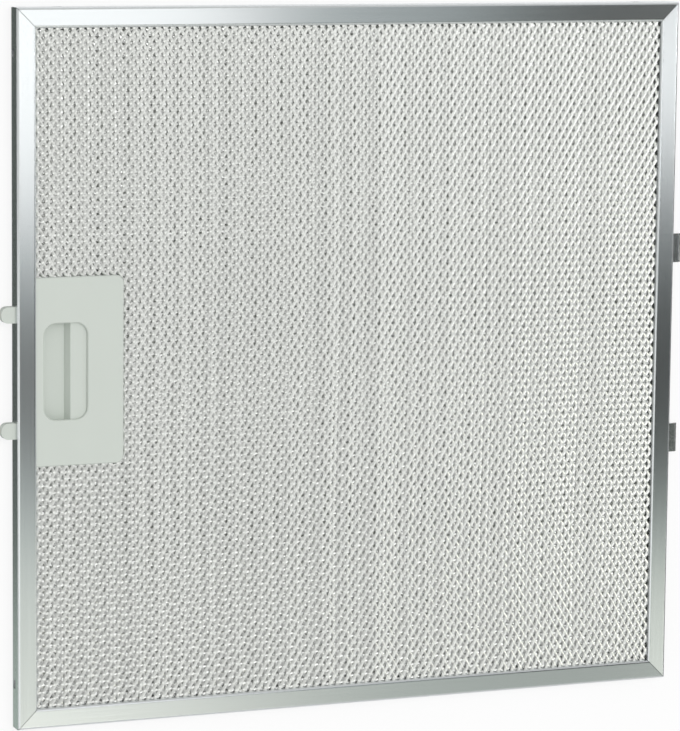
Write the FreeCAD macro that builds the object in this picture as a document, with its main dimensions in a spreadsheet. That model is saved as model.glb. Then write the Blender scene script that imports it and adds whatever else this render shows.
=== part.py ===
"""Cooker hood grease filter: a square metal cassette with a sprung finger latch.

X runs from the latch side to the lug side, Y up the front face and Z out of it.
The frame lies with its back on Z = 0, centred on the origin. Lengths are millimetres.
"""
import FreeCAD
import Part
import Sketcher
import math
import os
from types import SimpleNamespace

SIZES = [
    ("frame_width", 320, "outer width, without pegs and lugs"),
    ("frame_height", 320, "outer height"),
    ("frame_depth", 9, "thickness of the cassette"),
    ("sheet", 0.6, "aluminium sheet of the rails"),
    ("flange", 9, "face width of a rail"),
    ("lip", 2, "depth of the turned-in lip, from the face of the rail"),
    ("bend_radius", 1.2, "outer radius of the rail's bends"),
    ("mitre_gap", 0.2, "gap of a mitred corner"),
    ("key_leg", 28, "leg of a corner key, from the frame's corner"),
    ("key_thickness", 1.4, "strip of a corner key"),
    ("key_fit", 0.1, "clearance of a corner key in its channel"),
    ("barb_place", 20, "middle of a barb, from the frame's corner"),
    ("barb_length", 3.4, "barb along the rail"),
    ("barb_width", 3, "barb across the rail"),
    ("barb_middle", 3.3, "middle of a barb, from the back of the frame"),
    ("window_fit", 0.2, "clearance round a barb, peg or lug where it passes a wall"),
    ("mesh_fit", 0.2, "clearance from the mesh to a corner key"),
    ("mesh_border", 5, "uncut edge of a mesh layer, held in the rails"),
    ("outer_layer", 1, "thickness of the front and back mesh"),
    ("inner_layer", 0.8, "thickness of the layer behind each of them"),
    ("outer_pitch", 4.8, "spacing of the strands of the front and back mesh along X"),
    ("inner_pitch", 7.8, "spacing of the strands of the layers behind them"),
    ("strand_width", 1.4, "width of a strand along X"),
    ("strand_lean", 30.5, "lean of the strands from the vertical, in degrees"),
    ("core_pitch", 12, "corrugation of the core"),
    ("core_crest", 2.4, "flat crest of a corrugation"),
    ("core_sheet", 0.4, "thickness of the core"),
    ("handle_reach", 49.3, "right edge of the handle, from the frame's left face"),
    ("cover_height", 84, "height of the handle cover"),
    ("cover_corner", 3.5, "corner radius of the handle cover"),
    ("cover_edge", 0.4, "bevelled edge of the handle cover"),
    ("cover_fit", 0.1, "clearance of the handle under the rail's flanges"),
    ("clamp_overlap", 2.5, "handle plate over the mesh"),
    ("window_left", 12.5, "left edge of the finger window, from the frame's left face"),
    ("finger_width", 20.1, "width of the finger window"),
    ("finger_height", 43, "height of the finger window"),
    ("finger_corner", 5.5, "corner radius of the finger window"),
    ("base_fit", 0.2, "clearance of the handle from the bends of the rail"),
    ("notch_fit", 0.3, "clearance of the mesh round the handle base"),
    ("base_wall", 1.5, "walls of the handle base"),
    ("base_floor", 1, "floor of the handle base"),
    ("cell_length", 26, "hollow in each side of the handle base"),
    ("pin_diameter", 2.4, "pins that join the cover to the base"),
    ("pin_length", 3.6, "length of those pins"),
    ("pin_inset", 6, "pins from the ends of the handle base"),
    ("pin_fit", 0.1, "clearance on the pin's diameter"),
    ("slide_fit", 0.15, "clearance round the slider"),
    ("slider_height", 64, "slider along Y"),
    ("slider_length", 33.6, "slider along X, without its pegs"),
    ("peg_spread", 51.5, "distance between the pegs"),
    ("peg_width", 7.2, "peg along Y"),
    ("peg_thickness", 4, "peg along Z"),
    ("peg_nose", 3.2, "rounding of the peg's nose"),
    ("peg_reach", 6.6, "peg out of the frame"),
    ("scoop_overlap", 0.6, "finger scoop hidden behind the window's edge"),
    ("scoop_wall", 25, "top of the wall that the finger pulls, from the frame's left face"),
    ("scoop_draft", 1.8, "slope of that wall, from top to foot"),
    ("scoop_floor", 1.1, "thickness under the finger scoop"),
    ("scoop_round", 3.4, "rounding of the scoop's left side"),
    ("slider_skin", 1.4, "wall left where the slider is cored from behind"),
    ("spring_span", 50, "bowed spring along Y"),
    ("spring_width", 4, "spring strip along Z"),
    ("spring_sheet", 0.4, "spring strip thickness"),
    ("spring_fit", 0.05, "clearance of the spring at its seats"),
    ("lug_spread", 90, "distance between the lugs"),
    ("lug_width", 13.5, "lug along Y"),
    ("lug_sheet", 1, "sheet of a lug"),
    ("lug_reach", 5.6, "lug out of the frame"),
    ("lug_top", 5.4, "front face of a lug, from the back of the frame"),
    ("lug_leg", 3, "legs of a lug, from its front face"),
    ("lug_bend", 1.5, "outer radius of a lug's bends"),
    ("lug_corner", 1.2, "rounded corners of a lug's outer leg"),
]

ALONG_X = FreeCAD.Vector(1, 0, 0)
ALONG_Y = FreeCAD.Vector(0, 1, 0)
ALONG_Z = FreeCAD.Vector(0, 0, 1)
ORIGIN, _, START, END, CENTRE = range(-1, 4)
TOUCH = 1e-5


class Size:
    """A length together with the spreadsheet formula that gives it."""

    def __init__(self, value, formula):
        self.value = value
        self.formula = formula

    def __add__(self, other):
        other = as_size(other)
        return Size(self.value + other.value, "(%s + %s)" % (self.formula, other.formula))

    def __sub__(self, other):
        other = as_size(other)
        return Size(self.value - other.value, "(%s - %s)" % (self.formula, other.formula))

    def __mul__(self, other):
        other = as_size(other)
        return Size(self.value * other.value, "(%s * %s)" % (self.formula, other.formula))

    def __truediv__(self, other):
        other = as_size(other)
        return Size(self.value / other.value, "(%s / %s)" % (self.formula, other.formula))

    def __neg__(self):
        return Size(-self.value, "(0 - %s)" % self.formula)


def as_size(number):
    """A plain number as a size, so that both can be used in one formula."""
    if isinstance(number, Size):
        return number
    return Size(number, "(%.9g)" % number)


def make_sheet(doc):
    """The sheet of driving dimensions, and the sizes it holds by name."""
    sheet = doc.addObject("Spreadsheet::Sheet", "Sizes")
    for row, (alias, value, note) in enumerate(SIZES, 1):
        sheet.set("A%d" % row, alias)
        sheet.set("B%d" % row, str(value))
        sheet.set("C%d" % row, note)
        sheet.setAlias("B%d" % row, alias)
    doc.recompute()
    return SimpleNamespace(**{name: Size(float(sheet.get(name)), "Sizes." + name) for name, _, _ in SIZES})


doc = FreeCAD.newDocument("GreaseFilter")
d = make_sheet(doc)

# Places that several pieces share
left = -d.frame_width / 2
right = d.frame_width / 2
mesh_front = d.frame_depth - d.lip
mesh_back = d.lip
mesh_inset = d.sheet + d.key_fit + d.key_thickness + d.mesh_fit
handle_left = left + d.bend_radius + d.base_fit
handle_right = left + d.handle_reach
handle_back = d.sheet + d.cover_fit
handle_top = d.cover_height / 2
plate_thickness = d.lip - d.sheet - d.cover_fit
base_right = handle_right - d.clamp_overlap
base_top = handle_top - d.clamp_overlap
cavity_right = base_right - d.base_wall
cavity_floor = handle_back + d.base_floor
cavity_top = d.slider_height / 2 + d.slide_fit
slider_left = handle_left + d.base_wall + d.slide_fit
slider_right = slider_left + d.slider_length
slider_back = cavity_floor + d.slide_fit
slider_front = mesh_front - d.slide_fit
peg_back = slider_front - d.peg_thickness
peg_middle = d.peg_spread / 2
pin_top = (cavity_top + base_top) / 2
window_top = d.finger_height / 2


def new_body(label):
    """An empty body for one piece."""
    body = doc.addObject("PartDesign::Body", label)
    body.Label = label
    return body


def sketch_on(body, role, height=None):
    """A sketch on one of the body's origin planes, or at a height above it."""
    planes = {feature.Role: feature for feature in body.Origin.OriginFeatures}
    sketch = body.newObject("Sketcher::SketchObject", "sketch")
    sketch.AttachmentSupport = [(planes[role], "")]
    sketch.MapMode = "FlatFace"
    if height is not None:
        sketch.setExpression("AttachmentOffset.Base.z", height.formula)
    return sketch


def tie(sketch, kind, item, point, length):
    """Tie one point of a sketch item to its distance from the sketch's origin."""
    number = sketch.addConstraint(Sketcher.Constraint(kind, ORIGIN, START, item, point, length.value))
    sketch.setExpression("Constraints[%d]" % number, length.formula)


def tie_point(sketch, item, point, place):
    """Tie both coordinates of one point of a sketch item."""
    tie(sketch, "DistanceX", item, point, as_size(place[0]))
    tie(sketch, "DistanceY", item, point, as_size(place[1]))


def tie_radius(sketch, item, radius):
    """Tie the radius of an arc or a circle."""
    number = sketch.addConstraint(Sketcher.Constraint("Radius", item, radius.value))
    sketch.setExpression("Constraints[%d]" % number, radius.formula)


def flat(place):
    """A sketch point as a vector."""
    return FreeCAD.Vector(as_size(place[0]).value, as_size(place[1]).value, 0)


def polygon(sketch, corners):
    """Draw a closed straight-sided outline with every corner tied to the sheet."""
    first = sketch.GeometryCount
    count = len(corners)
    for i in range(count):
        sketch.addGeometry(Part.LineSegment(flat(corners[i]), flat(corners[(i + 1) % count])))
    for i in range(count):
        sketch.addConstraint(Sketcher.Constraint("Coincident", first + i, END, first + (i + 1) % count, START))
    for i in range(count):
        tie_point(sketch, first + i, START, corners[i])


def rectangle(sketch, x_low, x_high, y_low, y_high):
    """Draw an upright rectangle."""
    polygon(sketch, [(x_low, y_low), (x_high, y_low), (x_high, y_high), (x_low, y_high)])


def circle(sketch, middle, diameter):
    """Draw a circle."""
    radius = diameter / 2
    item = sketch.addGeometry(Part.Circle(flat(middle), ALONG_Z, radius.value))
    tie_point(sketch, item, CENTRE, middle)
    tie_radius(sketch, item, radius)


def extrude(body, kind, sketch, length, forward=True, symmetric=False):
    """Pad or pocket a sketch, along its plane's normal or against it, or to both sides of it."""
    feature = body.newObject("PartDesign::" + kind, kind.lower())
    feature.Profile = sketch
    feature.setExpression("Length", length.formula)
    feature.Reversed = forward == (kind == "Pocket")
    feature.SideType = "Symmetric" if symmetric else "One side"
    sketch.Visibility = False
    return feature


def straight_edges(shape, axis, places):
    """Names of the straight edges along an axis that pass through the given places."""
    names = []
    for number, edge in enumerate(shape.Edges, 1):
        if not isinstance(edge.Curve, Part.Line):
            continue
        start = edge.Vertexes[0].Point
        run = edge.Vertexes[-1].Point - start
        if run.cross(axis).Length > TOUCH:
            continue
        if any((place - start).cross(axis).Length < TOUCH for place in places):
            names.append("Edge%d" % number)
    return names


def level_edges(shape, height):
    """Names of the edges that lie at one height."""
    names = []
    for number, edge in enumerate(shape.Edges, 1):
        box = edge.BoundBox
        if abs(box.ZMin - height.value) < TOUCH and abs(box.ZMax - height.value) < TOUCH:
            names.append("Edge%d" % number)
    return names


def dress_edges(body, kind, size_name, size, find, *arguments):
    """Fillet or chamfer the edges of the body's last feature that find picks out."""
    doc.recompute()
    base = body.Tip
    feature = body.newObject("PartDesign::" + kind, kind.lower())
    feature.Base = (base, find(base.Shape, *arguments))
    feature.setExpression(size_name, size.formula)


def round_off(body, radius, axis, places):
    """Fillet the straight edges along an axis that pass through the given places."""
    dress_edges(body, "Fillet", "Radius", radius, straight_edges, axis, places)


def bevel(body, width, height):
    """Chamfer all edges that lie at one height."""
    dress_edges(body, "Chamfer", "Size", width, level_edges, height)


def upright(places):
    """Points of upright edges, from their X and Y."""
    return [FreeCAD.Vector(as_size(x).value, as_size(y).value, 0) for x, y in places]


def lengthwise(places):
    """Points of edges along Y, from their X and Z."""
    return [FreeCAD.Vector(as_size(x).value, 0, as_size(z).value) for x, z in places]


def put(body, place_x, place_y, turn=0):
    """Turn a body about Z and tie its place to the sheet."""
    rotation = FreeCAD.Rotation(ALONG_Z, turn)
    body.Placement = FreeCAD.Placement(FreeCAD.Vector(place_x.value, place_y.value, 0), rotation)
    body.setExpression("Placement.Base.x", place_x.formula)
    body.setExpression("Placement.Base.y", place_y.formula)


def channel_corners():
    """Section of a rail: a channel open inward, with both flange edges turned in."""
    depth, inside = d.frame_depth, d.flange - d.sheet
    return [
        (d.flange, depth - d.lip),
        (d.flange, depth),
        (0, depth),
        (0, 0),
        (d.flange, 0),
        (d.flange, d.lip),
        (inside, d.lip),
        (inside, d.sheet),
        (d.sheet, d.sheet),
        (d.sheet, depth - d.sheet),
        (inside, depth - d.sheet),
        (inside, depth - d.lip),
    ]


def make_rail(label, length, place_x, place_y, turn):
    """A mitred rail, drawn along Y with its web on X = 0 and its channel open toward +X."""
    body = new_body(label)
    section = sketch_on(body, "XZ_Plane")
    corners = channel_corners()
    polygon(section, corners)
    extrude(body, "Pad", section, length, symmetric=True)
    round_off(body, d.bend_radius, ALONG_Y, lengthwise(corners[1:5]))
    round_off(body, d.bend_radius - d.sheet, ALONG_Y, lengthwise(corners[7:11]))

    mitres = sketch_on(body, "XY_Plane")
    end = length / 2
    tip = end - d.mitre_gap * math.sqrt(0.5)
    over = d.flange * 2
    for side in (1, -1):
        polygon(mitres, [
            (-d.flange, (tip + d.flange) * side),
            (over, (tip - over) * side),
            (over, (end + d.flange) * side),
            (-d.flange, (end + d.flange) * side),
        ])
    extrude(body, "Pocket", mitres, d.frame_depth)

    windows = sketch_on(body, "YZ_Plane")
    half_length = d.barb_length / 2 + d.window_fit
    half_width = d.barb_width / 2 + d.window_fit
    for side in (1, -1):
        middle = (end - d.barb_place) * side
        rectangle(windows, middle - half_length, middle + half_length,
                  d.barb_middle - half_width, d.barb_middle + half_width)
    extrude(body, "Pocket", windows, d.sheet * 2)
    put(body, place_x, place_y, turn)
    return body


def open_left_rail(body):
    """Let the pegs through the left rail's web, and the handle in under its flanges."""
    windows = sketch_on(body, "YZ_Plane")
    half = d.peg_width / 2 + d.window_fit
    for side in (1, -1):
        rectangle(windows, peg_middle * side - half, peg_middle * side + half,
                  peg_back - d.window_fit, slider_front + d.window_fit)
    extrude(body, "Pocket", windows, d.sheet * 2)
    gap = sketch_on(body, "XY_Plane", d.sheet)
    rectangle(gap, d.flange - d.bend_radius, d.flange + d.sheet,
              -handle_top - d.notch_fit, handle_top + d.notch_fit)
    extrude(body, "Pocket", gap, d.frame_depth - d.sheet * 2)


def open_right_rail(body):
    """Cut the slots that the lugs pass through."""
    slots = sketch_on(body, "YZ_Plane")
    half = d.lug_width / 2 + d.window_fit
    for side in (1, -1):
        middle = d.lug_spread / 2 * side
        rectangle(slots, middle - half, middle + half,
                  d.lug_top - d.lug_sheet - d.window_fit, d.lug_top + d.window_fit)
    extrude(body, "Pocket", slots, d.sheet * 2)


def make_corner_key(label, place_x, place_y, turn):
    """A bent strip with one leg in each rail's channel and a barb on each leg."""
    body = new_body(label)
    outside = d.sheet + d.key_fit
    inside = outside + d.key_thickness
    back = d.bend_radius + d.key_fit
    inner_bend = d.mesh_fit * 2
    strip = sketch_on(body, "XY_Plane", back)
    polygon(strip, [
        (outside, outside), (d.key_leg, outside), (d.key_leg, inside),
        (inside, inside), (inside, d.key_leg), (outside, d.key_leg),
    ])
    extrude(body, "Pad", strip, d.frame_depth - back * 2)
    round_off(body, inner_bend + d.key_thickness, ALONG_Z, upright([(outside, outside)]))
    round_off(body, inner_bend, ALONG_Z, upright([(inside, inside)]))

    barbs = sketch_on(body, "XY_Plane", d.barb_middle - d.barb_width / 2)
    near = d.barb_place - d.barb_length / 2
    far = d.barb_place + d.barb_length / 2
    crest = outside - d.sheet
    polygon(barbs, [(near, crest), (far, outside), (near, outside)])
    polygon(barbs, [(crest, near), (outside, near), (outside, far)])
    extrude(body, "Pad", barbs, d.barb_width)
    put(body, place_x, place_y, turn)


def mesh_outline(margin):
    """Face of a mesh layer, some way inside its edge: the opening with a notch for the handle."""
    side = right.value - mesh_inset.value - margin
    top = d.frame_height.value / 2 - mesh_inset.value - margin
    notch_x = base_right.value + d.notch_fit.value + margin
    notch_y = base_top.value + d.notch_fit.value + margin
    corners = [(-side, -top), (side, -top), (side, top), (-side, top),
               (-side, notch_y), (notch_x, notch_y), (notch_x, -notch_y), (-side, -notch_y)]
    points = [FreeCAD.Vector(x, y, 0) for x, y in corners]
    return Part.Face(Part.makePolygon(points + points[:1]))


def strand_slots(pitch, lean):
    """Parallel slots between strands, leaning from the vertical, over the whole mesh."""
    half = (pitch - d.strand_width.value) / 2
    top = d.frame_height.value / 2
    shift = top * math.tan(math.radians(lean))
    count = math.ceil((d.frame_width.value + 2 * abs(shift)) / pitch)
    slots = []
    for number in range(count):
        x = (number - (count - 1) / 2) * pitch
        corners = [(x - shift - half, -top), (x - shift + half, -top),
                   (x + shift + half, top), (x + shift - half, top)]
        points = [FreeCAD.Vector(a, b, 0) for a, b in corners]
        slots.append(Part.Face(Part.makePolygon(points + points[:1])))
    return Part.makeCompound(slots)


def make_solid_feature(label, shape, height):
    """A piece whose shape is set in code, lifted to its height."""
    piece = doc.addObject("Part::Feature", label)
    piece.Label = label
    piece.Shape = shape
    piece.Placement = FreeCAD.Placement(FreeCAD.Vector(0, 0, height), FreeCAD.Rotation())


def make_mesh(label, back, thickness, pitch, lean):
    """One flat layer: strands that all lean one way, in an uncut border."""
    openings = mesh_outline(d.mesh_border.value).common(strand_slots(pitch.value, lean))
    face = mesh_outline(0).cut(openings).Faces[0]
    make_solid_feature(label, face.extrude(ALONG_Z * thickness.value), back.value)


def make_core(label, back, height):
    """The corrugated layer, with flat crests that touch the layers on both sides."""
    side = right.value - mesh_inset.value
    pitch, crest, rise = d.core_pitch.value, d.core_crest.value, height.value - d.core_sheet.value
    count = int(2 * side / pitch)
    wave = [(-side, 0)]
    for number in range(count):
        x = (number - count / 2) * pitch
        slope = pitch / 2 - crest
        wave += [(x + crest / 2, 0), (x + crest / 2 + slope, rise),
                 (x + pitch - crest / 2 - slope, rise), (x + pitch - crest / 2, 0)]
    wave += [(side, 0)]
    upper = [FreeCAD.Vector(x, 0, z + d.core_sheet.value) for x, z in wave]
    lower = [FreeCAD.Vector(x, 0, z) for x, z in reversed(wave)]
    section = Part.Face(Part.makePolygon(upper + lower + upper[:1]))
    reach = mesh_outline(0)
    section.translate(FreeCAD.Vector(0, reach.BoundBox.YMin, 0))
    corrugated = section.extrude(ALONG_Y * reach.BoundBox.YLength)
    shape = corrugated.common(reach.extrude(ALONG_Z * height.value))
    make_solid_feature(label, shape.Solids[0], back.value)


def make_mesh_pack():
    """Five layers between the lips: two flat ones on each side of the corrugated core."""
    lean = d.strand_lean.value
    core_back = mesh_back + d.outer_layer + d.inner_layer
    core_front = mesh_front - d.outer_layer - d.inner_layer
    make_mesh("front_mesh", mesh_front - d.outer_layer, d.outer_layer, d.outer_pitch, lean)
    make_mesh("inner_front_mesh", core_front, d.inner_layer, d.inner_pitch, -lean)
    make_core("core_mesh", core_back, core_front - core_back)
    make_mesh("inner_back_mesh", mesh_back + d.outer_layer, d.inner_layer, d.inner_pitch, lean)
    make_mesh("back_mesh", mesh_back, d.outer_layer, d.outer_pitch, -lean)


def pin_places():
    """Middles of the four pins that join the cover to the base."""
    near = handle_left + d.pin_inset
    far = base_right - d.pin_inset
    return [(x, pin_top * side) for x in (near, far) for side in (1, -1)]


def make_plate(body, height):
    """The outline that the handle's cover and base share, with its outer corners rounded."""
    plate = sketch_on(body, "XY_Plane", height)
    rectangle(plate, handle_left, handle_right, -handle_top, handle_top)
    extrude(body, "Pad", plate, plate_thickness)
    corners = upright([(handle_right, handle_top), (handle_right, -handle_top)])
    round_off(body, d.cover_corner, ALONG_Z, corners)


def make_handle_cover():
    """The plate with the finger window, and pins behind it."""
    body = new_body("handle_cover")
    make_plate(body, mesh_front)
    window = sketch_on(body, "XY_Plane", mesh_front)
    window_left = left + d.window_left
    window_right = window_left + d.finger_width
    rectangle(window, window_left, window_right, -window_top, window_top)
    extrude(body, "Pocket", window, plate_thickness)
    corners = [(x, window_top * side) for x in (window_left, window_right) for side in (1, -1)]
    round_off(body, d.finger_corner, ALONG_Z, upright(corners))
    bevel(body, d.cover_edge, mesh_front + plate_thickness)
    pins = sketch_on(body, "XY_Plane", mesh_front)
    for place in pin_places():
        circle(pins, place, d.pin_diameter)
    extrude(body, "Pad", pins, d.pin_length, forward=False)


def make_handle_base():
    """The tray that the slider runs in, with a plate behind the mesh."""
    body = new_body("handle_base")
    make_plate(body, handle_back)
    block = sketch_on(body, "XY_Plane", mesh_back)
    rectangle(block, handle_left, base_right, -base_top, base_top)
    extrude(body, "Pad", block, mesh_front - mesh_back)

    cavity = sketch_on(body, "XY_Plane", mesh_front)
    rectangle(cavity, handle_left + d.base_wall, cavity_right, -cavity_top, cavity_top)
    extrude(body, "Pocket", cavity, mesh_front - cavity_floor, forward=False)

    cells = sketch_on(body, "XY_Plane", mesh_front)
    middle = (handle_left + base_right) / 2
    for low, high in ((cavity_top + d.base_wall, base_top - d.base_wall),
                      (d.base_wall - base_top, -cavity_top - d.base_wall)):
        rectangle(cells, middle - d.cell_length / 2, middle + d.cell_length / 2, low, high)
    extrude(body, "Pocket", cells, mesh_front - cavity_floor, forward=False)

    holes = sketch_on(body, "XY_Plane", mesh_front)
    for place in pin_places():
        circle(holes, place, d.pin_diameter + d.pin_fit)
    extrude(body, "Pocket", holes, d.pin_length + d.slide_fit, forward=False)

    doors = sketch_on(body, "YZ_Plane", handle_left)
    half = d.peg_width / 2 + d.window_fit
    for side in (1, -1):
        rectangle(doors, peg_middle * side - half, peg_middle * side + half,
                  peg_back - d.window_fit, mesh_front)
    extrude(body, "Pocket", doors, d.base_wall)


def make_latch_slider():
    """The slider: a plate with the finger scoop and two rounded pegs."""
    body = new_body("latch_slider")
    plate = sketch_on(body, "XY_Plane", slider_back)
    slider_top = d.slider_height / 2
    rectangle(plate, slider_left, slider_right, -slider_top, slider_top)
    extrude(body, "Pad", plate, slider_front - slider_back)

    pegs = sketch_on(body, "XY_Plane", slider_front)
    tip = left - d.peg_reach
    half = d.peg_width / 2
    for side in (1, -1):
        rectangle(pegs, tip, slider_left + d.slider_skin, peg_middle * side - half, peg_middle * side + half)
    extrude(body, "Pad", pegs, d.peg_thickness, forward=False)
    noses = [(tip, peg_middle * side + half * end) for side in (1, -1) for end in (1, -1)]
    round_off(body, d.peg_nose, ALONG_Z, upright(noses))

    scoop = sketch_on(body, "XZ_Plane")
    scoop_left = left + d.window_left - d.scoop_overlap
    wall_top = left + d.scoop_wall
    wall_foot = wall_top - d.scoop_draft
    floor = slider_back + d.scoop_floor
    polygon(scoop, [(scoop_left, slider_front), (scoop_left, floor), (wall_foot, floor), (wall_top, slider_front)])
    scoop_length = d.finger_height + d.scoop_overlap * 2
    extrude(body, "Pocket", scoop, scoop_length, symmetric=True)
    round_off(body, d.scoop_round, ALONG_Y, lengthwise([(scoop_left, floor)]))

    cores = sketch_on(body, "XY_Plane", slider_back)
    arm_foot = scoop_length / 2 + d.slider_skin
    arm_top = slider_top - d.slider_skin
    core_left = slider_left + d.slider_skin
    core_right = slider_right - d.slider_skin
    rectangle(cores, wall_top + d.slider_skin, core_right, -scoop_length / 2, scoop_length / 2)
    rectangle(cores, core_left, core_right, arm_foot, arm_top)
    rectangle(cores, core_left, core_right, -arm_top, -arm_foot)
    extrude(body, "Pocket", cores, slider_front - slider_back - d.slider_skin)


def make_latch_spring():
    """A bowed strip between the slider and the wall of the base, seated at its ends and its crown."""
    body = new_body("latch_spring")
    seat = cavity_right - d.spring_fit
    crown = slider_right + d.spring_fit
    half = d.spring_span / 2
    rise = seat - d.spring_sheet - crown
    radius = (half * half + rise * rise) / (rise * 2)
    middle = (slider_back + slider_front) / 2
    strip = sketch_on(body, "XY_Plane", middle - d.spring_width / 2)
    for number, shift in enumerate((as_size(0), d.spring_sheet)):
        end = crown + rise + shift
        strip.addGeometry(Part.Arc(flat((end, half)), flat((crown + shift, 0)), flat((end, -half))))
        tie_point(strip, number, START, (end, half))
        tie_point(strip, number, END, (end, -half))
        tie_radius(strip, number, radius)
    for point, side in ((START, 1), (END, -1)):
        ends = [flat((crown + rise + shift, half * side)) for shift in (0, d.spring_sheet)]
        line = strip.addGeometry(Part.LineSegment(*ends))
        strip.addConstraint(Sketcher.Constraint("Coincident", line, START, 0, point))
        strip.addConstraint(Sketcher.Constraint("Coincident", line, END, 1, point))
    extrude(body, "Pad", strip, d.spring_width)


def make_lug(label, side):
    """A folded tab: one leg inside the rail's web, a tongue through it and a turned-down tip."""
    body = new_body(label)
    seat = right - d.sheet - d.key_fit
    inner = seat - d.lug_sheet
    tip = right + d.lug_reach
    foot = d.lug_top - d.lug_leg
    under = d.lug_top - d.lug_sheet
    section = sketch_on(body, "XZ_Plane")
    polygon(section, [
        (inner, foot), (seat, foot), (seat, under), (tip - d.lug_sheet, under),
        (tip - d.lug_sheet, foot), (tip, foot), (tip, d.lug_top), (inner, d.lug_top),
    ])
    extrude(body, "Pad", section, d.lug_width, symmetric=True)
    round_off(body, d.lug_bend, ALONG_Y, lengthwise([(tip, d.lug_top), (inner, d.lug_top)]))
    round_off(body, d.lug_bend - d.lug_sheet, ALONG_Y,
              lengthwise([(tip - d.lug_sheet, under), (seat, under)]))
    ends = [FreeCAD.Vector(tip.value, d.lug_width.value / 2 * end, foot.value) for end in (1, -1)]
    round_off(body, d.lug_corner, ALONG_X, ends)
    put(body, as_size(0), d.lug_spread / 2 * side)


def build():
    """Make every piece of the filter."""
    top = d.frame_height / 2
    middle = as_size(0)
    open_left_rail(make_rail("left_rail", d.frame_height, left, middle, 0))
    open_right_rail(make_rail("right_rail", d.frame_height, right, middle, 180))
    make_rail("top_rail", d.frame_width, middle, top, -90)
    make_rail("bottom_rail", d.frame_width, middle, -top, 90)
    make_corner_key("corner_key_bottom_left", left, -top, 0)
    make_corner_key("corner_key_bottom_right", right, -top, 90)
    make_corner_key("corner_key_top_right", right, top, 180)
    make_corner_key("corner_key_top_left", left, top, 270)
    make_mesh_pack()
    make_handle_cover()
    make_handle_base()
    make_latch_slider()
    make_latch_spring()
    make_lug("upper_lug", 1)
    make_lug("lower_lug", -1)
    doc.recompute()


def write_parts():
    """Check every piece and write it to its own file."""
    for item in doc.Objects:
        if "Invalid" in item.State or "Error" in item.State:
            raise RuntimeError("%s did not build" % item.Name)
    os.makedirs("parts", exist_ok=True)
    pieces = [item for item in doc.Objects if item.TypeId in ("PartDesign::Body", "Part::Feature")]
    for piece in pieces:
        if not piece.Shape.isValid() or len(piece.Shape.Solids) != 1:
            raise RuntimeError("%s is not one valid solid" % piece.Label)
        piece.Shape.exportStep("parts/%s.step" % piece.Label)


build()
write_parts()
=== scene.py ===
"""Looks of a cooker hood grease filter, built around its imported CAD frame.

The filter lies with its back on the floor, and the camera looks down on its front face.
X runs from the latch side to the lug side, Y up the face and Z out of it, in metres.
"""

import math

import bpy
import numpy as np
from bpy.props import FloatProperty, FloatVectorProperty, PointerProperty
from mathutils import Matrix, Vector


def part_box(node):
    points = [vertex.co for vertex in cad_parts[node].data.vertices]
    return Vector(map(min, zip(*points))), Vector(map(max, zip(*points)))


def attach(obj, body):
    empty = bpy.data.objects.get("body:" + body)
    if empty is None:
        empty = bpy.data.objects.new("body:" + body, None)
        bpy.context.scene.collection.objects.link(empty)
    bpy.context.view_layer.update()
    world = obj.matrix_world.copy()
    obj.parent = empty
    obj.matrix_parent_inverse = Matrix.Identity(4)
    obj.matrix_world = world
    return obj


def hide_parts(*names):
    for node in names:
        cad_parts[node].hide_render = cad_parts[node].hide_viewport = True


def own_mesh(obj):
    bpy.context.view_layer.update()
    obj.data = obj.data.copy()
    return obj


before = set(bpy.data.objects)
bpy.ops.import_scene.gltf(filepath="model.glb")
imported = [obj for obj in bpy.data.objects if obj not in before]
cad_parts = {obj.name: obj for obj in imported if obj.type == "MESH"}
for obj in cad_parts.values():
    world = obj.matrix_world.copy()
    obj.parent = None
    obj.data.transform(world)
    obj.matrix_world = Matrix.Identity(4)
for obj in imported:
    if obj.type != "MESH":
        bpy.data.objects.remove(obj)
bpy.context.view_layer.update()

bl_info = {
    "name": "Grease filter dresser",
    "version": (1, 0, 0),
    "blender": (4, 5, 0),
    "location": "View3D > Sidebar > Grease filter",
    "description": "Dresses a cooker hood grease filter: rails, expanded mesh and a sprung finger latch",
    "category": "Object",
}

SIDE_RAILS = ("left_rail", "right_rail")
CROSS_RAILS = ("top_rail", "bottom_rail")
CORNER_KEYS = ("corner_key_top_left", "corner_key_top_right",
               "corner_key_bottom_left", "corner_key_bottom_right")
LUGS = ("upper_lug", "lower_lug")
PLASTIC_PIECES = ("handle_cover", "handle_base", "latch_slider")
ALONG_X, ALONG_Y = 0, 1

# Sizes that the CAD source also has, in metres
COVER_LAP = 0.0022
SPRING_SHEET = 0.0004


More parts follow.
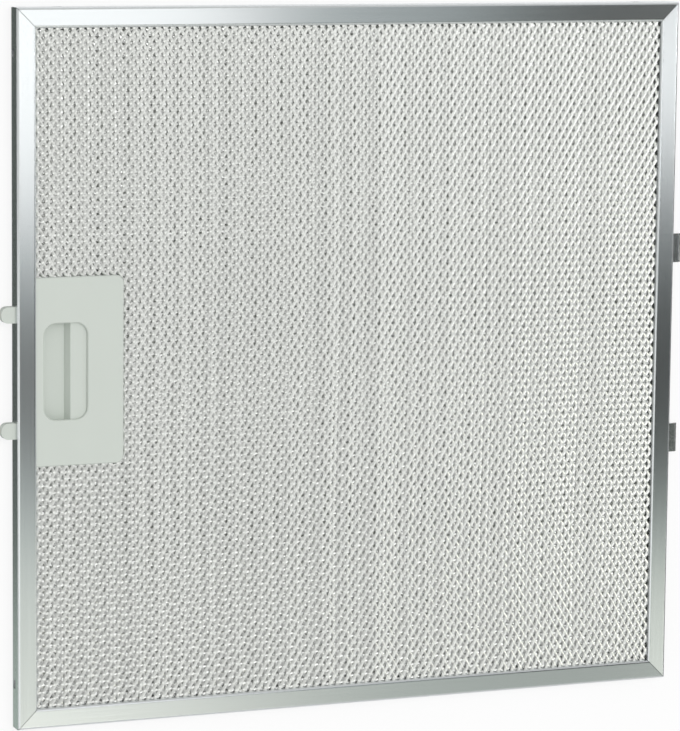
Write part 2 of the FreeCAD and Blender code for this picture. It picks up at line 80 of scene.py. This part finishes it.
class MeshSizes(bpy.types.PropertyGroup):
    """Sizes of the expanded mesh layers."""

    long_pitch: FloatProperty(
        name="Long pitch", description="Long way of a diamond", default=0.006, unit="LENGTH")
    outer_short: FloatProperty(
        name="Outer short pitch", description="Short way of a diamond in the front and back layers",
        default=0.00353, unit="LENGTH")
    outer_width: FloatProperty(
        name="Outer strand width", description="Width of a strand of the front and back layers",
        default=0.0015, unit="LENGTH")
    outer_swing: FloatProperty(
        name="Outer swing", description="How far such a strand swings to each side",
        default=0.00084, unit="LENGTH")
    outer_tilt: FloatProperty(
        name="Outer tilt", description="Slope of such a strand across its width",
        default=math.radians(-22), subtype="ANGLE")
    inner_short: FloatProperty(
        name="Inner short pitch", description="Short way of a diamond in the layers behind them",
        default=0.0031, unit="LENGTH")
    inner_width: FloatProperty(
        name="Inner strand width", description="Width of a strand of the inner layers",
        default=0.00112, unit="LENGTH")
    inner_swing: FloatProperty(
        name="Inner swing", description="How far such a strand swings to each side",
        default=0.00055, unit="LENGTH")
    inner_tilt: FloatProperty(
        name="Inner tilt", description="Slope of such a strand across its width",
        default=math.radians(21), subtype="ANGLE")
    wander: FloatProperty(
        name="Wander", description="How far the slope of single strands strays", default=math.radians(2.5),
        subtype="ANGLE")
    foil: FloatProperty(
        name="Foil", description="Thickness of the foil that is slit and stretched",
        default=0.00016, unit="LENGTH")
    stagger: FloatProperty(
        name="Stagger", description="Step in height between neighbours, which overlap where they join",
        default=0.00003, unit="LENGTH")
    drift: FloatProperty(
        name="Drift", description="How far the stretched pattern wanders from a true grid",
        default=0.0006, unit="LENGTH")


class Finishes(bpy.types.PropertyGroup):
    """Colours of the finishes, as linear light."""

    rail: FloatVectorProperty(
        name="Rails", description="Brushed aluminium of the rails",
        default=(0.80, 0.83, 0.84), subtype="COLOR", min=0, max=1)
    foil: FloatVectorProperty(
        name="Mesh", description="Bright aluminium foil of the mesh layers",
        default=(0.88, 0.89, 0.87), subtype="COLOR", min=0, max=1)
    plastic: FloatVectorProperty(
        name="Handle", description="Pale grey plastic of the handle",
        default=(0.60, 0.645, 0.595), subtype="COLOR", min=0, max=1)
    lug: FloatVectorProperty(
        name="Lugs", description="Plated steel of the lugs",
        default=(0.62, 0.64, 0.64), subtype="COLOR", min=0, max=1)
    spring: FloatVectorProperty(
        name="Spring", description="Blued spring steel",
        default=(0.42, 0.43, 0.45), subtype="COLOR", min=0, max=1)


class StageSizes(bpy.types.PropertyGroup):
    """The camera's place and the level of the light."""

    distance: FloatProperty(
        name="Distance", description="From the camera to the point it aims at", default=1.7061, unit="LENGTH")
    azimuth: FloatProperty(
        name="Azimuth", description="Bearing of the camera round the upright axis",
        default=math.radians(159.112), subtype="ANGLE")
    elevation: FloatProperty(
        name="Elevation", description="Height of the camera above the floor, as an angle",
        default=math.radians(66.746), subtype="ANGLE")
    roll: FloatProperty(
        name="Roll", description="Turn of the picture about the line of sight",
        default=math.radians(0.571), subtype="ANGLE")
    aim: FloatVectorProperty(
        name="Aim", description="Point in the middle of the picture",
        default=(-0.006, -0.00349, 0.0045), subtype="XYZ")
    lens: FloatProperty(
        name="Lens", description="Focal length in millimetres, for a picture 36 mm high", default=184.94)
    ambient: FloatProperty(
        name="Ambient", description="Level of the light from all round", default=0.7)
    mirrored: FloatProperty(
        name="Mirrored", description="Level of the surroundings that the metal mirrors", default=0.64)
    key: FloatProperty(
        name="Key light", description="Power of the large soft lamp", default=15, subtype="POWER")


def sizes():
    """The settings kept in the scene."""
    scene = bpy.context.scene
    return scene.filter_mesh, scene.filter_finishes, scene.filter_stage


def node(tree, kind, **settings):
    """Add a shader node and set its properties by name."""
    made = tree.nodes.new(kind)
    for name, value in settings.items():
        setattr(made, name, value)
    return made


def new_group(name, inputs, outputs):
    """An empty shader group with number or vector sockets, and its two end nodes."""
    tree = bpy.data.node_groups.new(name, "ShaderNodeTree")
    for label, kind, default in inputs:
        socket = tree.interface.new_socket(name=label, in_out="INPUT", socket_type=kind)
        socket.default_value = default
    for label, kind in outputs:
        tree.interface.new_socket(name=label, in_out="OUTPUT", socket_type=kind)
    return tree, tree.nodes.new("NodeGroupInput"), tree.nodes.new("NodeGroupOutput")


def grain_group():
    """Shared grain: noise on Object coordinates times a density for each axis.

    Value spreads the noise evenly about one, by Contrast. Height is the noise itself.
    """
    found = bpy.data.node_groups.get("Surface grain")
    if found:
        return found
    tree, start, end = new_group(
        "Surface grain",
        [("Density", "NodeSocketVector", (100, 100, 100)), ("Contrast", "NodeSocketFloat", 0.1),
         ("Detail", "NodeSocketFloat", 2)],
        [("Value", "NodeSocketFloat"), ("Height", "NodeSocketFloat")])
    place = node(tree, "ShaderNodeTexCoord")
    stretch = node(tree, "ShaderNodeVectorMath", operation="MULTIPLY")
    noise = node(tree, "ShaderNodeTexNoise")
    noise.inputs["Scale"].default_value = 1
    spread = node(tree, "ShaderNodeMath", operation="MULTIPLY_ADD")
    middle = node(tree, "ShaderNodeMath", operation="SUBTRACT")
    middle.inputs[1].default_value = 0.5
    spread.inputs[2].default_value = 1
    links = tree.links
    links.new(place.outputs["Object"], stretch.inputs[0])
    links.new(start.outputs["Density"], stretch.inputs[1])
    links.new(stretch.outputs[0], noise.inputs["Vector"])
    links.new(start.outputs["Detail"], noise.inputs["Detail"])
    links.new(noise.outputs["Fac"], middle.inputs[0])
    links.new(middle.outputs[0], spread.inputs[0])
    links.new(start.outputs["Contrast"], spread.inputs[1])
    links.new(spread.outputs[0], end.inputs["Value"])
    links.new(noise.outputs["Fac"], end.inputs["Height"])
    return tree


def place_grain(tree, density, contrast, detail=2.0):
    """One use of the shared grain, with its own values."""
    grain = node(tree, "ShaderNodeGroup", node_tree=grain_group())
    grain.inputs["Density"].default_value = density
    grain.inputs["Contrast"].default_value = contrast
    grain.inputs["Detail"].default_value = detail
    return grain


def new_material(name):
    """A material with one Principled shader, its tree and that shader."""
    material = bpy.data.materials.new(name)
    material.use_nodes = True
    tree = material.node_tree
    return material, tree, tree.nodes["Principled BSDF"]


def tint_by(tree, shader, colour, value):
    """Base colour times a value that changes over the surface."""
    tint = node(tree, "ShaderNodeMix", data_type="RGBA", blend_type="MULTIPLY")
    tint.inputs["Factor"].default_value = 1
    tint.inputs["A"].default_value = (*colour, 1)
    tree.links.new(value, tint.inputs["B"])
    tree.links.new(tint.outputs["Result"], shader.inputs["Base Color"])


def roughness_by(tree, shader, level, value):
    """Roughness times a value that changes over the surface."""
    times = node(tree, "ShaderNodeMath", operation="MULTIPLY")
    times.inputs[0].default_value = level
    tree.links.new(value, times.inputs[1])
    tree.links.new(times.outputs[0], shader.inputs["Roughness"])


def bump_by(tree, shader, height, depth, strength=1.0):
    """Bump from a height that changes over the surface, of a given depth."""
    bump = node(tree, "ShaderNodeBump")
    bump.inputs["Strength"].default_value = strength
    bump.inputs["Distance"].default_value = depth
    tree.links.new(height, bump.inputs["Height"])
    tree.links.new(bump.outputs["Normal"], shader.inputs["Normal"])


def brushed_aluminium(name, colour, along):
    """Aluminium brushed along one axis: fine streaks that blur reflections across the brushing."""
    material, tree, shader = new_material(name)
    density = [2600.0, 2600.0, 2600.0]
    density[along] = 14.0
    across = [0.0, 0.0, 1.0]
    across[1 - along] = 1.0
    shader.inputs["Metallic"].default_value = 1
    shader.inputs["Anisotropic"].default_value = 0.9
    tangent = node(tree, "ShaderNodeCombineXYZ")
    for socket, value in zip(tangent.inputs, across):
        socket.default_value = value
    tree.links.new(tangent.outputs[0], shader.inputs["Tangent"])
    streaks = place_grain(tree, density, 0.12, 3)
    tint_by(tree, shader, colour, streaks.outputs["Value"])
    roughness_by(tree, shader, 0.22, streaks.outputs["Value"])
    bump_by(tree, shader, streaks.outputs["Height"], 0.000002)
    return material


def strand_group():
    """Roundness of a strand, as a height in millimetres.

    Crown times the square of Edge, the way across from -1 to 1, rounds the strand's edges down. Ease
    times the cube of Turn, the way from one turn to the next from -1 to 1, bends it over at its turns.
    """
    tree, start, end = new_group(
        "Strand roundness",
        [("Edge", "NodeSocketFloat", 0), ("Turn", "NodeSocketFloat", 0),
         ("Crown", "NodeSocketFloat", -0.05), ("Ease", "NodeSocketFloat", 0.12)],
        [("Height", "NodeSocketFloat")])
    parts = []
    for way, power, weight in (("Edge", 2, "Crown"), ("Turn", 3, "Ease")):
        raised = node(tree, "ShaderNodeMath", operation="POWER")
        raised.inputs[1].default_value = power
        part = node(tree, "ShaderNodeMath", operation="MULTIPLY")
        tree.links.new(start.outputs[way], raised.inputs[0])
        tree.links.new(raised.outputs[0], part.inputs[0])
        tree.links.new(start.outputs[weight], part.inputs[1])
        parts.append(part)
    whole = node(tree, "ShaderNodeMath", operation="ADD")
    for part, socket in zip(parts, whole.inputs):
        tree.links.new(part.outputs[0], socket)
    tree.links.new(whole.outputs[0], end.inputs["Height"])
    return tree


def bright_foil(name, colour):
    """Rolled aluminium foil with a fine, faintly cloudy sheen, rounded along the strands it was slit into."""
    material, tree, shader = new_material(name)
    shader.inputs["Metallic"].default_value = 1
    clouds = place_grain(tree, (420, 420, 420), 0.16, 3)
    tint_by(tree, shader, colour, clouds.outputs["Value"])
    roughness_by(tree, shader, 0.22, clouds.outputs["Value"])
    strand = node(tree, "ShaderNodeGroup", node_tree=strand_group())
    for label in ("edge", "turn"):
        way = node(tree, "ShaderNodeAttribute", attribute_name=label)
        tree.links.new(way.outputs["Fac"], strand.inputs[label.capitalize()])
    uneven = node(tree, "ShaderNodeMath", operation="MULTIPLY_ADD")
    uneven.inputs[1].default_value = 0.065
    tree.links.new(clouds.outputs["Height"], uneven.inputs[0])
    tree.links.new(strand.outputs["Height"], uneven.inputs[2])
    bump_by(tree, shader, uneven.outputs[0], 0.001)
    return material


def moulded_plastic(name, colour, roughness=0.42):
    """Injection moulded plastic with a fine spark-eroded texture and a slight flow mottle."""
    material, tree, shader = new_material(name)
    shader.inputs["IOR"].default_value = 1.46
    mottle = place_grain(tree, (45, 18, 45), 0.05)
    texture = place_grain(tree, (3200, 3200, 3200), 0.3, 1)
    tint_by(tree, shader, colour, mottle.outputs["Value"])
    roughness_by(tree, shader, roughness, texture.outputs["Value"])
    bump_by(tree, shader, texture.outputs["Height"], 0.00002, 0.6)
    return material


def rolled_steel(name, colour, roughness, density):
    """Rolled steel strip: metal with streaks along its rolling direction."""
    material, tree, shader = new_material(name)
    shader.inputs["Metallic"].default_value = 1
    streaks = place_grain(tree, density, 0.3, 3)
    tint_by(tree, shader, colour, streaks.outputs["Value"])
    roughness_by(tree, shader, roughness, streaks.outputs["Value"])
    bump_by(tree, shader, streaks.outputs["Height"], 0.00001)
    return material


def paint(name, material):
    """Give a CAD node its material in every slot."""
    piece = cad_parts[name]
    for slot in piece.material_slots:
        slot.material = material


def put_mesh(name, points, quads, material, **attributes):
    """A new mesh object from arrays of points and four-sided faces.

    Each attribute is an array with one number, or one vector, for every point.
    """
    mesh = bpy.data.meshes.new(name)
    mesh.vertices.add(len(points))
    mesh.vertices.foreach_set("co", np.ascontiguousarray(points, np.float32).ravel())
    mesh.loops.add(quads.size)
    mesh.loops.foreach_set("vertex_index", np.ascontiguousarray(quads, np.int32).ravel())
    mesh.polygons.add(len(quads))
    mesh.polygons.foreach_set("loop_start", np.arange(0, quads.size, 4, dtype=np.int32))
    mesh.update(calc_edges=True)
    mesh.shade_flat()
    if mesh.validate():
        raise RuntimeError("%s has faces that had to be mended" % name)
    for label, values in attributes.items():
        kind, field = ("FLOAT", "value") if values.ndim == 1 else ("FLOAT_VECTOR", "vector")
        mesh.attributes.new(label, kind, "POINT").data.foreach_set(field, values.astype(np.float32).ravel())
    mesh.materials.append(material)
    piece = bpy.data.objects.new(name, mesh)
    bpy.context.scene.collection.objects.link(piece)
    return piece


def swept_quads(strands, rings, corners):
    """Faces of closed tubes: strands of so many rings with so many corners each, with both ends capped.

    Point number is (strand * rings + ring) * corners + corner. Caps join opposite corners in pairs.
    """
    number = np.arange(strands * rings * corners).reshape(strands, rings, corners)
    after = np.roll(number, -1, axis=2)
    sides = np.stack([number[:, :-1], number[:, 1:], after[:, 1:], after[:, :-1]], axis=-1)
    steps = np.arange(corners // 2 - 1)
    ring = np.stack([steps, steps + 1, corners - 2 - steps, corners - 1 - steps], axis=-1)
    caps = np.concatenate([number[:, 0][:, ring], number[:, -1][:, ring[:, ::-1]]])
    return np.concatenate([sides.reshape(-1, 4), caps.reshape(-1, 4)])


def strand_band(across, along, long, short, width, swing, tilt, wander, foil, stagger):
    """Strands of expanded mesh between two lines across and two along, each a thin sloping ribbon.

    A strand swings like a triangle wave of the long pitch, out of step with its neighbours, so that it
    joins one at each turn. Two neighbours there lie in one sloping plane, so a strand climbs or drops on
    the way by what is left of half the short pitch, times the tangent of the tilt. Its own slope strays from
    the tilt by a seeded random part of the wander. Gives the points, each with its way across and its way
    between turns as two more columns, and the faces.
    """
    half_pitch = short / 2
    strand = np.arange(math.ceil(across[0] / half_pitch), math.ceil(across[1] / half_pitch))[:, None, None]
    turns = np.arange(math.ceil(2 * along[0] / long), math.floor(2 * along[1] / long) + 1) * long / 2
    run = np.unique(np.concatenate([[along[0]], turns, [along[1]]]))[None, :, None]
    wave = 4 * np.abs((run / long) % 1 - 0.5) - 1
    odd = strand % 2
    phase = np.where(odd, -wave, wave)
    way = np.array([-1, 1, 1, -1])[None, None, :]
    edge = way * width / 2
    face = np.array([-1, -1, 1, 1])[None, None, :] * foil / 2
    climb = (half_pitch - 2 * swing) / 2 * math.tan(tilt)
    slope = tilt + wander * np.random.default_rng(strand.size).uniform(-1, 1, strand.shape)
    side = strand * half_pitch + phase * swing + edge * np.cos(slope) + face * np.sin(slope)
    height = phase * climb - edge * np.sin(slope) + face * np.cos(slope) + (odd - 0.5) * stagger
    points = np.stack(np.broadcast_arrays(side, run, height, way, -phase * np.sign(tilt)), axis=-1)
    return points.reshape(-1, 5), swept_quads(len(strand), run.size, way.size)


def mesh_layer(box, notch, along, drift, *pattern):
    """One layer of expanded mesh, whole beside the handle's notch and cut short above and below it.

    The bands are laid with strands along Y, or along X with the two axes exchanged, which turns the
    faces over. Slow sine waves across the sheet then make the pattern wander by the drift.
    """
    low, high = box
    notch_x, notch_y = notch
    _, _, margin, *_ = pattern
    left, right, top = low.x + margin, high.x - margin, high.y - margin
    beside, above = notch_x + margin, notch_y + margin
    if along == ALONG_Y:
        bands = [((beside, right), (low.y, high.y)),
                 ((left, beside), (notch_y, high.y)),
                 ((left, beside), (low.y, -notch_y))]
    else:
        bands = [((-above, above), (notch_x, high.x)),
                 ((above, top), (low.x, high.x)),
                 ((-top, -above), (low.x, high.x))]
    count, points, quads = 0, [], []
    for across, run in bands:
        band, faces = strand_band(across, run, *pattern)
        points.append(band)
        quads.append(faces + count)
        count += len(band)
    points, quads = np.concatenate(points), np.concatenate(quads)
    if along == ALONG_X:
        points, quads = points[:, [1, 0, 2, 3, 4]], quads[:, ::-1]
    x, y = points[:, 0] / (high.x - low.x), points[:, 1] / (high.y - low.y)
    fade = np.clip(6 * (0.5 - np.abs(x)), 0, 1) * np.clip(6 * (0.5 - np.abs(y)), 0, 1)
    points[:, 0] += drift * fade * np.sin(2 * math.pi * (1.3 * y + 0.4 * x + 0.1))
    points[:, 1] += drift * fade * np.sin(2 * math.pi * (1.7 * x - 0.6 * y + 0.3))
    points[:, 2] += (low.z + high.z) / 2
    return points, quads


def bowed_strip(box, sheet, rings=49):
    """A strip on edge along Y that bows towards -X: half a cosine wave from its crown to each end.

    The strip's thickness lies square to its curve, and its width along Z fills the box.
    """
    low, high = box
    middle, half = (low.y + high.y) / 2, (high.y - low.y) / 2
    rise = high.x - low.x - sheet
    turn = np.linspace(-math.pi, math.pi, rings)[:, None]
    curve = low.x + sheet / 2 + rise * (1 - np.cos(turn)) / 2
    slope = rise * np.sin(turn) / 2 * math.pi / half
    length = np.sqrt(1 + slope ** 2)
    edge = np.array([-1, 1, 1, -1])[None, :] * sheet / 2
    x = curve + edge / length
    y = middle + turn / math.pi * half - edge * slope / length
    z = np.array([low.z, low.z, high.z, high.z])[None, :]
    points = np.stack(np.broadcast_arrays(x, y, z), axis=-1)
    return points.reshape(-1, 3), swept_quads(1, rings, edge.size)


class FILTER_OT_rails(bpy.types.Operator):
    """Brush the four rails along their length and finish the keys in their corners"""

    bl_idname = "filter.rails"
    bl_label = "Rails and corner keys"

    def execute(self, context):
        _, finishes, _ = sizes()
        upright = brushed_aluminium("Aluminium brushed along Y", finishes.rail, ALONG_Y)
        level = brushed_aluminium("Aluminium brushed along X", finishes.rail, ALONG_X)
        key = rolled_steel("Key strip", finishes.spring, 0.5, (900, 900, 900))
        for name in SIDE_RAILS:
            paint(name, upright)
        for name in CROSS_RAILS:
            paint(name, level)
        for name in CORNER_KEYS:
            paint(name, key)
        return {"FINISHED"}


class FILTER_OT_mesh(bpy.types.Operator):
    """Lay the expanded mesh: two crossed layers on each side of the corrugated core"""

    bl_idname = "filter.mesh"
    bl_label = "Expanded mesh"

    def execute(self, context):
        mesh, finishes, _ = sizes()
        foil = bright_foil("Bright aluminium foil", finishes.foil)
        _, cover_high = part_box("handle_cover")
        notch = (cover_high.x - COVER_LAP, cover_high.y - COVER_LAP)
        outer = (ALONG_Y, mesh.drift, mesh.long_pitch, mesh.outer_short, mesh.outer_width,
                 mesh.outer_swing, mesh.outer_tilt, mesh.wander, mesh.foil, mesh.stagger)
        inner = (ALONG_X, mesh.drift, mesh.long_pitch, mesh.inner_short, mesh.inner_width,
                 mesh.inner_swing, mesh.inner_tilt, mesh.wander, mesh.foil, mesh.stagger)
        for name, pattern in (("front_mesh", outer), ("inner_front_mesh", inner),
                              ("inner_back_mesh", inner), ("back_mesh", outer)):
            points, quads = mesh_layer(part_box(name), notch, *pattern)
            turn = -points[:, 4] if "back" in name else points[:, 4]
            piece = put_mesh("expanded_" + name, points[:, :3], quads, foil, edge=points[:, 3], turn=turn)
            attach(piece, "filter")
            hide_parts(name)
        paint("core_mesh", foil)
        return {"FINISHED"}


class FILTER_OT_handle(bpy.types.Operator):
    """Finish the plastic handle and its slider, and bend the spring behind it"""

    bl_idname = "filter.handle"
    bl_label = "Handle and latch"

    def execute(self, context):
        _, finishes, _ = sizes()
        plastic = moulded_plastic("Pale moulded plastic", finishes.plastic)
        for name in PLASTIC_PIECES:
            paint(name, plastic)
        steel = rolled_steel("Spring steel", finishes.spring, 0.3, (1500, 60, 1500))
        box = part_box("latch_spring")
        spring = put_mesh("bowed_spring", *bowed_strip(box, SPRING_SHEET), steel)
        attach(spring, "filter")
        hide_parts("latch_spring")
        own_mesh(spring)
        return {"FINISHED"}


class FILTER_OT_lugs(bpy.types.Operator):
    """Plate the two folded lugs on the right side"""

    bl_idname = "filter.lugs"
    bl_label = "Lugs"

    def execute(self, context):
        _, finishes, _ = sizes()
        plated = rolled_steel("Plated steel", finishes.lug, 0.2, (300, 1200, 300))
        for name in LUGS:
            paint(name, plated)
        return {"FINISHED"}


# The cards that metal mirrors hang at these heights, in metres. A place on the flat rails mirrors the point
# of the rail card that is the place times the spread, plus the shift.
RAIL_CARD_HEIGHT, MESH_CARD_HEIGHT = 1.0, 2.0
RAIL_MIRROR_SPREAD = (1.639, 1.645)
RAIL_MIRROR_SHIFT = (0.41, -0.146)
LEFT_STRIP_TINT, RIGHT_STRIP_GLOW = (0.86, 1.0, 0.9), 0.12
FOIL_TINT = (0.99, 1.0, 0.98)


def step(value, place, spread):
    """Smooth step from 0 to 1 over a few spreads round its place."""
    return 1 / (1 + np.exp((place - value) / spread))


def mirrored_card(name, x, y, z, glow):
    """A glowing sheet of the stage that only mirrors see, from grids of places and of its glowing colour."""
    number = np.arange(y.size).reshape(y.shape)
    quads = np.stack([number[:-1, :-1], number[1:, :-1], number[1:, 1:], number[:-1, 1:]], axis=-1)
    points = np.stack(np.broadcast_arrays(x, y, z), axis=-1)
    material = bpy.data.materials.new(name)
    material.use_nodes = True
    tree = material.node_tree
    light = node(tree, "ShaderNodeEmission")
    pattern = node(tree, "ShaderNodeAttribute", attribute_name="glow")
    tree.links.new(pattern.outputs["Vector"], light.inputs["Color"])
    tree.links.new(light.outputs[0], tree.nodes["Material Output"].inputs["Surface"])
    card = put_mesh(name, points.reshape(-1, 3), quads.reshape(-1, 4), material, glow=glow.reshape(-1, 3))
    card.visible_camera = card.visible_diffuse = card.visible_shadow = False
    card.visible_transmission = card.visible_volume_scatter = False


class FILTER_OT_stage(bpy.types.Operator):
    """Set the floor, the soft light and the camera"""

    bl_idname = "filter.stage"
    bl_label = "Stage and camera"

    def execute(self, context):
        _, _, stage = sizes()
        scene = context.scene
        scene.view_settings.view_transform = "Standard"
        self.light_world(scene, stage)
        self.lay_floor()
        self.hang_lamp(scene, stage)
        self.hang_rail_card()
        self.hang_mesh_card()
        self.lay_dark_strips()
        self.set_camera(scene, stage)
        return {"FINISHED"}

    def light_world(self, scene, stage):
        """White all round, with one level as light and another in mirrors."""
        world = bpy.data.worlds.new("Studio")
        scene.world = world
        world.use_nodes = True
        tree = world.node_tree
        background = tree.nodes["Background"]
        background.inputs["Color"].default_value = (1, 1, 1, 1)
        path = node(tree, "ShaderNodeLightPath")
        level = node(tree, "ShaderNodeMix", data_type="FLOAT")
        level.inputs["A"].default_value = stage.ambient
        level.inputs["B"].default_value = stage.mirrored
        tree.links.new(path.outputs["Is Glossy Ray"], level.inputs["Factor"])
        tree.links.new(level.outputs["Result"], background.inputs["Strength"])

    def lay_floor(self):
        """A wide white floor just under the filter, that keeps a faint shadow."""
        reach, drop = 6.0, -0.0001
        corners = np.array([
            (-reach, -reach, drop), (reach, -reach, drop), (reach, reach, drop), (-reach, reach, drop)])
        material, tree, shader = new_material("White floor")
        shader.inputs["Base Color"].default_value = (0.95, 0.95, 0.95, 1)
        shader.inputs["Roughness"].default_value = 0.9
        shader.inputs["Specular IOR Level"].default_value = 0.1
        glow = node(tree, "ShaderNodeEmission")
        path = node(tree, "ShaderNodeLightPath")
        share = node(tree, "ShaderNodeMath", operation="MULTIPLY")
        share.inputs[1].default_value = 0.8
        mix = node(tree, "ShaderNodeMixShader")
        tree.links.new(path.outputs["Is Camera Ray"], share.inputs[0])
        tree.links.new(share.outputs[0], mix.inputs["Fac"])
        tree.links.new(shader.outputs[0], mix.inputs[1])
        tree.links.new(glow.outputs[0], mix.inputs[2])
        tree.links.new(mix.outputs[0], tree.nodes["Material Output"].inputs["Surface"])
        put_mesh("floor", corners, np.array([[0, 1, 2, 3]]), material)

    def hang_lamp(self, scene, stage):
        """One large soft lamp, above the face, which metal doesn't mirror."""
        lamp = bpy.data.lights.new("Key", "AREA")
        lamp.shape = "DISK"
        lamp.size = 1.4
        lamp.energy = stage.key
        holder = bpy.data.objects.new("Key", lamp)
        holder.location = (0.15, 0.45, 2.1)
        holder.rotation_euler = Vector(holder.location).to_track_quat("Z", "Y").to_euler()
        holder.visible_glossy = False
        scene.collection.objects.link(holder)

    def hang_rail_card(self):
        """What the rails mirror, drawn over the place on the rails where it is seen.

        A dark bar crosses it, wider and with harder edges on the right. Above the bar it falls from bright
        on the left to black in two steps. Past the right edge it is bright again, and fades towards the top.
        Below the bar it falls less far, and it brightens again at the lower left. What is dark is bluish, and
        what lies below the bar greenish.
        """
        across, up = np.meshgrid(np.linspace(-0.28, 0.5, 157), np.linspace(-0.34, 0.31, 66))
        bar_middle, bar_half = -0.009 - 0.026 * across, 0.078 + 0.077 * across
        bar_hardness = 3.25 + 4.8 * across
        bar = 1 - 0.99 * np.exp(-np.abs((up - bar_middle) / bar_half) ** bar_hardness)
        bright, grey = step(-across, 0.052, 0.012), step(-across, -0.066, 0.0125)
        past_right = step(across, 0.233, 0.008) * step(-up, -0.19, 0.04)
        above = 1.12 * bright + 0.47 * grey + 5 * past_right
        left_end, right_end = step(-across, 0.093, 0.05), step(across, 0.21, 0.02)
        lower_left = step(-up, 0.2, 0.015) * step(-across, 0.06, 0.04)
        below = 0.565 + 0.296 * left_end + 0.865 * right_end + 1.36 * lower_left
        share = step(up, 0.028, 0.02)
        glow = (bar * (share * above + (1 - share) * below))[..., None]
        bluish = 1 - np.clip(1 - glow, 0, 1) * (0.17, 0, -0.02)
        greenish = 1 - step(-up, 0.06, 0.02)[..., None] * (0, 0, 0.095)
        x = RAIL_MIRROR_SPREAD[0] * across + RAIL_MIRROR_SHIFT[0]
        y = RAIL_MIRROR_SPREAD[1] * up + RAIL_MIRROR_SHIFT[1]
        mirrored_card("rail_card", x, y, RAIL_CARD_HEIGHT, glow * bluish * greenish)

    def hang_mesh_card(self):
        """What the sloping strands mirror: a sheet of three soft-edged panels above a dim lower end.

        Strands that lean one way see its upper part, those that lean the other way its lower part, and
        their turns the part between. The left half of the face sees more of its left part. The right panel
        is bright, but dimmer low down, at its right edge and in a gap near its top. The middle panel is dim
        below its top. The left panel is grey, with a brighter band where turns are mirrored.
        """
        x, y = np.meshgrid(np.linspace(-2.4, 0.2, 131), np.linspace(-2.6, 1.8, 221))
        right, beside = step(x, -0.5, 0.08), step(x, -0.95, 0.08)
        top, low, lit = step(y, 0.7, 0.02), step(-y, 0.85, 0.02), step(y, -1.5, 0.02)
        gap, band = step(y, 0.2, 0.02) - top, step(-y, 0.3, 0.02) - low
        panels = (1 - beside) * (0.27 + 0.75 * band)
        panels += (beside - right) * (0.35 + 0.5 * top)
        panels += right * (1 - 0.55 * step(x, -0.15, 0.04)) * (0.73 - 0.44 * low - 0.16 * gap)
        glow = 0.35 + lit * panels
        mirrored_card("mesh_card", x, y, MESH_CARD_HEIGHT, glow[..., None] * FOIL_TINT)

    def lay_dark_strips(self):
        """Dark strips that outer walls mirror: one on the floor at the left, and one upright at the right."""
        x, y = np.meshgrid(np.linspace(-0.19, -0.1603, 4), np.linspace(-0.18, 0.18, 37))
        glow = 0.1 + 0.38 * step(-y, 0.105, 0.02)
        mirrored_card("left_strip", x, y, 0.0001, glow[..., None] * LEFT_STRIP_TINT)
        y, z = np.meshgrid(np.linspace(-0.19, 0.19, 3), np.linspace(0, 0.022, 3))
        mirrored_card("right_strip", 0.185, y, z, np.full((*y.shape, 3), RIGHT_STRIP_GLOW))

    def set_camera(self, scene, stage):
        """A camera at the given bearing and height round its aim, upright along Y but for its roll."""
        camera = bpy.data.cameras.new("Camera")
        camera.sensor_fit = "VERTICAL"
        camera.sensor_height = 36
        camera.lens = stage.lens
        camera.clip_start = 0.01
        flat = math.cos(stage.elevation)
        away = Vector((
            flat * math.cos(stage.azimuth), flat * math.sin(stage.azimuth), math.sin(stage.elevation)))
        right = Vector((0, 1, 0)).cross(away).normalized()
        axes = Matrix((right, away.cross(right), away)).transposed()
        turn = axes @ Matrix.Rotation(stage.roll, 3, "Z")
        holder = bpy.data.objects.new("Camera", camera)
        place = Vector(stage.aim) + away * stage.distance
        holder.matrix_world = Matrix.Translation(place) @ turn.to_4x4()
        scene.collection.objects.link(holder)
        scene.camera = holder


class FILTER_PT_panel(bpy.types.Panel):
    """Settings of the filter and one button for each step"""

    bl_idname = "FILTER_PT_panel"
    bl_label = "Grease filter"
    bl_space_type = "VIEW_3D"
    bl_region_type = "UI"
    bl_category = "Grease filter"

    def draw(self, context):
        for settings in sizes():
            box = self.layout.box()
            for name in settings.__annotations__:
                box.prop(settings, name)
        for button in STEPS:
            self.layout.operator(button.bl_idname)


STEPS = (FILTER_OT_rails, FILTER_OT_mesh, FILTER_OT_handle, FILTER_OT_lugs, FILTER_OT_stage)
CLASSES = (MeshSizes, Finishes, StageSizes, *STEPS, FILTER_PT_panel)


def register():
    """Make the classes known and keep their settings in the scene."""
    for item in CLASSES:
        bpy.utils.register_class(item)
    bpy.types.Scene.filter_mesh = PointerProperty(type=MeshSizes)
    bpy.types.Scene.filter_finishes = PointerProperty(type=Finishes)
    bpy.types.Scene.filter_stage = PointerProperty(type=StageSizes)


def unregister():
    """Take the settings and the classes away again."""
    del bpy.types.Scene.filter_stage
    del bpy.types.Scene.filter_finishes
    del bpy.types.Scene.filter_mesh
    for item in reversed(CLASSES):
        bpy.utils.unregister_class(item)


def main():
    """Dress the filter step by step."""
    register()
    bpy.ops.filter.rails()
    bpy.ops.filter.mesh()
    bpy.ops.filter.handle()
    bpy.ops.filter.lugs()
    bpy.ops.filter.stage()


if __name__ == "__main__":
    main()
